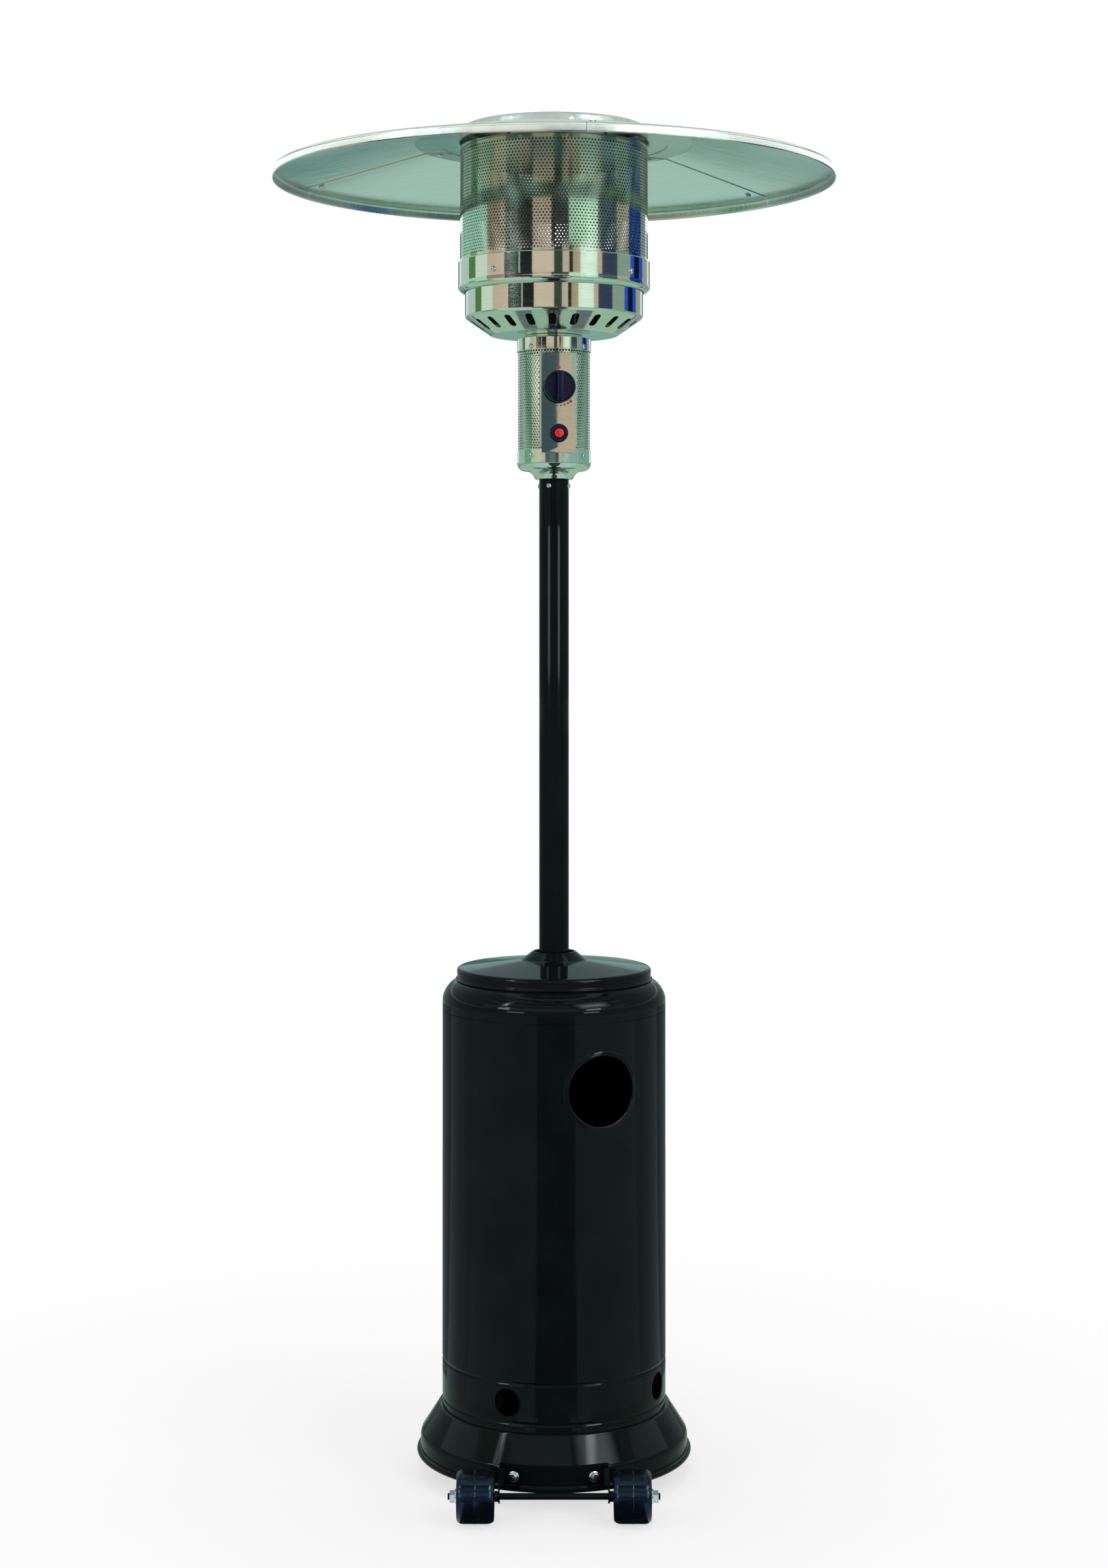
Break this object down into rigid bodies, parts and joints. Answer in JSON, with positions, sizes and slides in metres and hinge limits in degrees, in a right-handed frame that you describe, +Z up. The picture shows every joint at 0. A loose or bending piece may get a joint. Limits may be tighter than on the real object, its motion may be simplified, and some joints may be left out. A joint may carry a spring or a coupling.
{
  "type": "patio heater",
  "caption": "Free-standing gas patio heater with a wheeled drum base, a slim pole, a perforated burner head and a wide disc reflector.",
  "frame": {"origin": "on the floor under the middle of the pole", "axes": "+Z up along the pole, the front with the wheels and controls towards -Y, +X to the viewer's right"},
  "size_m": [0.912, 0.912, 2.1975],
  "materials": {
    "black_paint": "gloss",
    "stainless_steel": "polished",
    "aluminium": "satin",
    "zinc_plate": "bright zinc plate",
    "brass": "machined",
    "black_plastic": "satin",
    "rubber": "matte",
    "red_plastic": "gloss",
    "ceramic": "glazed"
  },
  "bodies": {
    "stand": {"base_flange": "black_paint", "base_plate": "black_paint", "rubber_feet": "rubber", "foot_screws": "zinc_plate", "wheel_bracket": "black_paint", "bracket_bolts": "zinc_plate", "wheel_axle": "black_paint", "wheel_spacers": "black_plastic", "axle_nuts": "zinc_plate", "support_leg_1": "black_paint", "support_leg_2": "black_paint", "support_leg_3": "black_paint", "leg_bolts": "zinc_plate", "pole_socket": "black_paint", "pole": "black_paint", "pole_screws": "zinc_plate", "gas_supply_pipe": "aluminium", "hose_tail": "brass", "control_cup": "stainless_steel", "cup_screws": "zinc_plate", "control_wrap": "stainless_steel", "control_panel": "stainless_steel", "panel_nuts": "zinc_plate", "control_collar": "stainless_steel", "collar_screws": "zinc_plate", "gas_valve": "aluminium", "igniter_body": "black_plastic", "igniter_bezel": "black_plastic", "tilt_switch": "aluminium", "gas_nozzle": "brass", "venturi_tube": "stainless_steel", "burner_head": "stainless_steel", "pilot_burner": "stainless_steel", "pilot_tube": "aluminium", "thermocouple": "brass", "ignition_electrode": "ceramic", "burner_bowl": "stainless_steel", "bowl_bolts": "zinc_plate", "screen_band": "stainless_steel", "band_screws": "zinc_plate", "flame_screen": "stainless_steel", "screen_top_plate": "stainless_steel", "reflector_studs": "zinc_plate", "stud_nuts": "zinc_plate", "reflector_panel_1": "aluminium", "reflector_panel_2": "aluminium", "reflector_panel_3": "aluminium", "reflector_hub": "aluminium", "seam_bolts": "zinc_plate"},
    "housing": {"housing_drum": "black_paint", "housing_shoulder": "black_paint", "housing_lid": "black_paint"},
    "push_sleeve": {"push_sleeve": "brass"},
    "knob": {"valve_spindle": "stainless_steel", "control_knob": "black_plastic"},
    "igniter_button": {"igniter_button": "red_plastic"},
    "left_wheel": {"left_wheel": "black_plastic"},
    "right_wheel": {"right_wheel": "black_plastic"}
  },
  "joints": [
    {"name": "housing_lift", "type": "slide", "parent": "stand", "child": "housing", "axis": [0, 0, 1], "range_m": [0, 0.6]},
    {"name": "knob_push", "type": "slide", "parent": "stand", "child": "push_sleeve", "axis": [-0.1219, 0.9925, 0], "range_m": [0, 0.005], "stiffness_N_per_m": 800, "springref_m": -0.002},
    {"name": "knob_turn", "type": "hinge", "parent": "push_sleeve", "child": "knob", "pos_m": [0.00914, -0.07444, 1.7495], "axis": [0.1219, -0.9925, 0], "range_deg": [0, 240]},
    {"name": "igniter_push", "type": "slide", "parent": "stand", "child": "igniter_button", "axis": [-0.1219, 0.9925, 0], "range_m": [0, 0.004], "stiffness_N_per_m": 900, "springref_m": -0.002},
    {"name": "left_wheel_roll", "type": "hinge", "parent": "stand", "child": "left_wheel", "pos_m": [-0.12, -0.264, 0.041], "axis": [1, 0, 0], "continuous": true},
    {"name": "right_wheel_roll", "type": "hinge", "parent": "stand", "child": "right_wheel", "pos_m": [0.12, -0.264, 0.041], "axis": [1, 0, 0], "continuous": true}
  ]
}
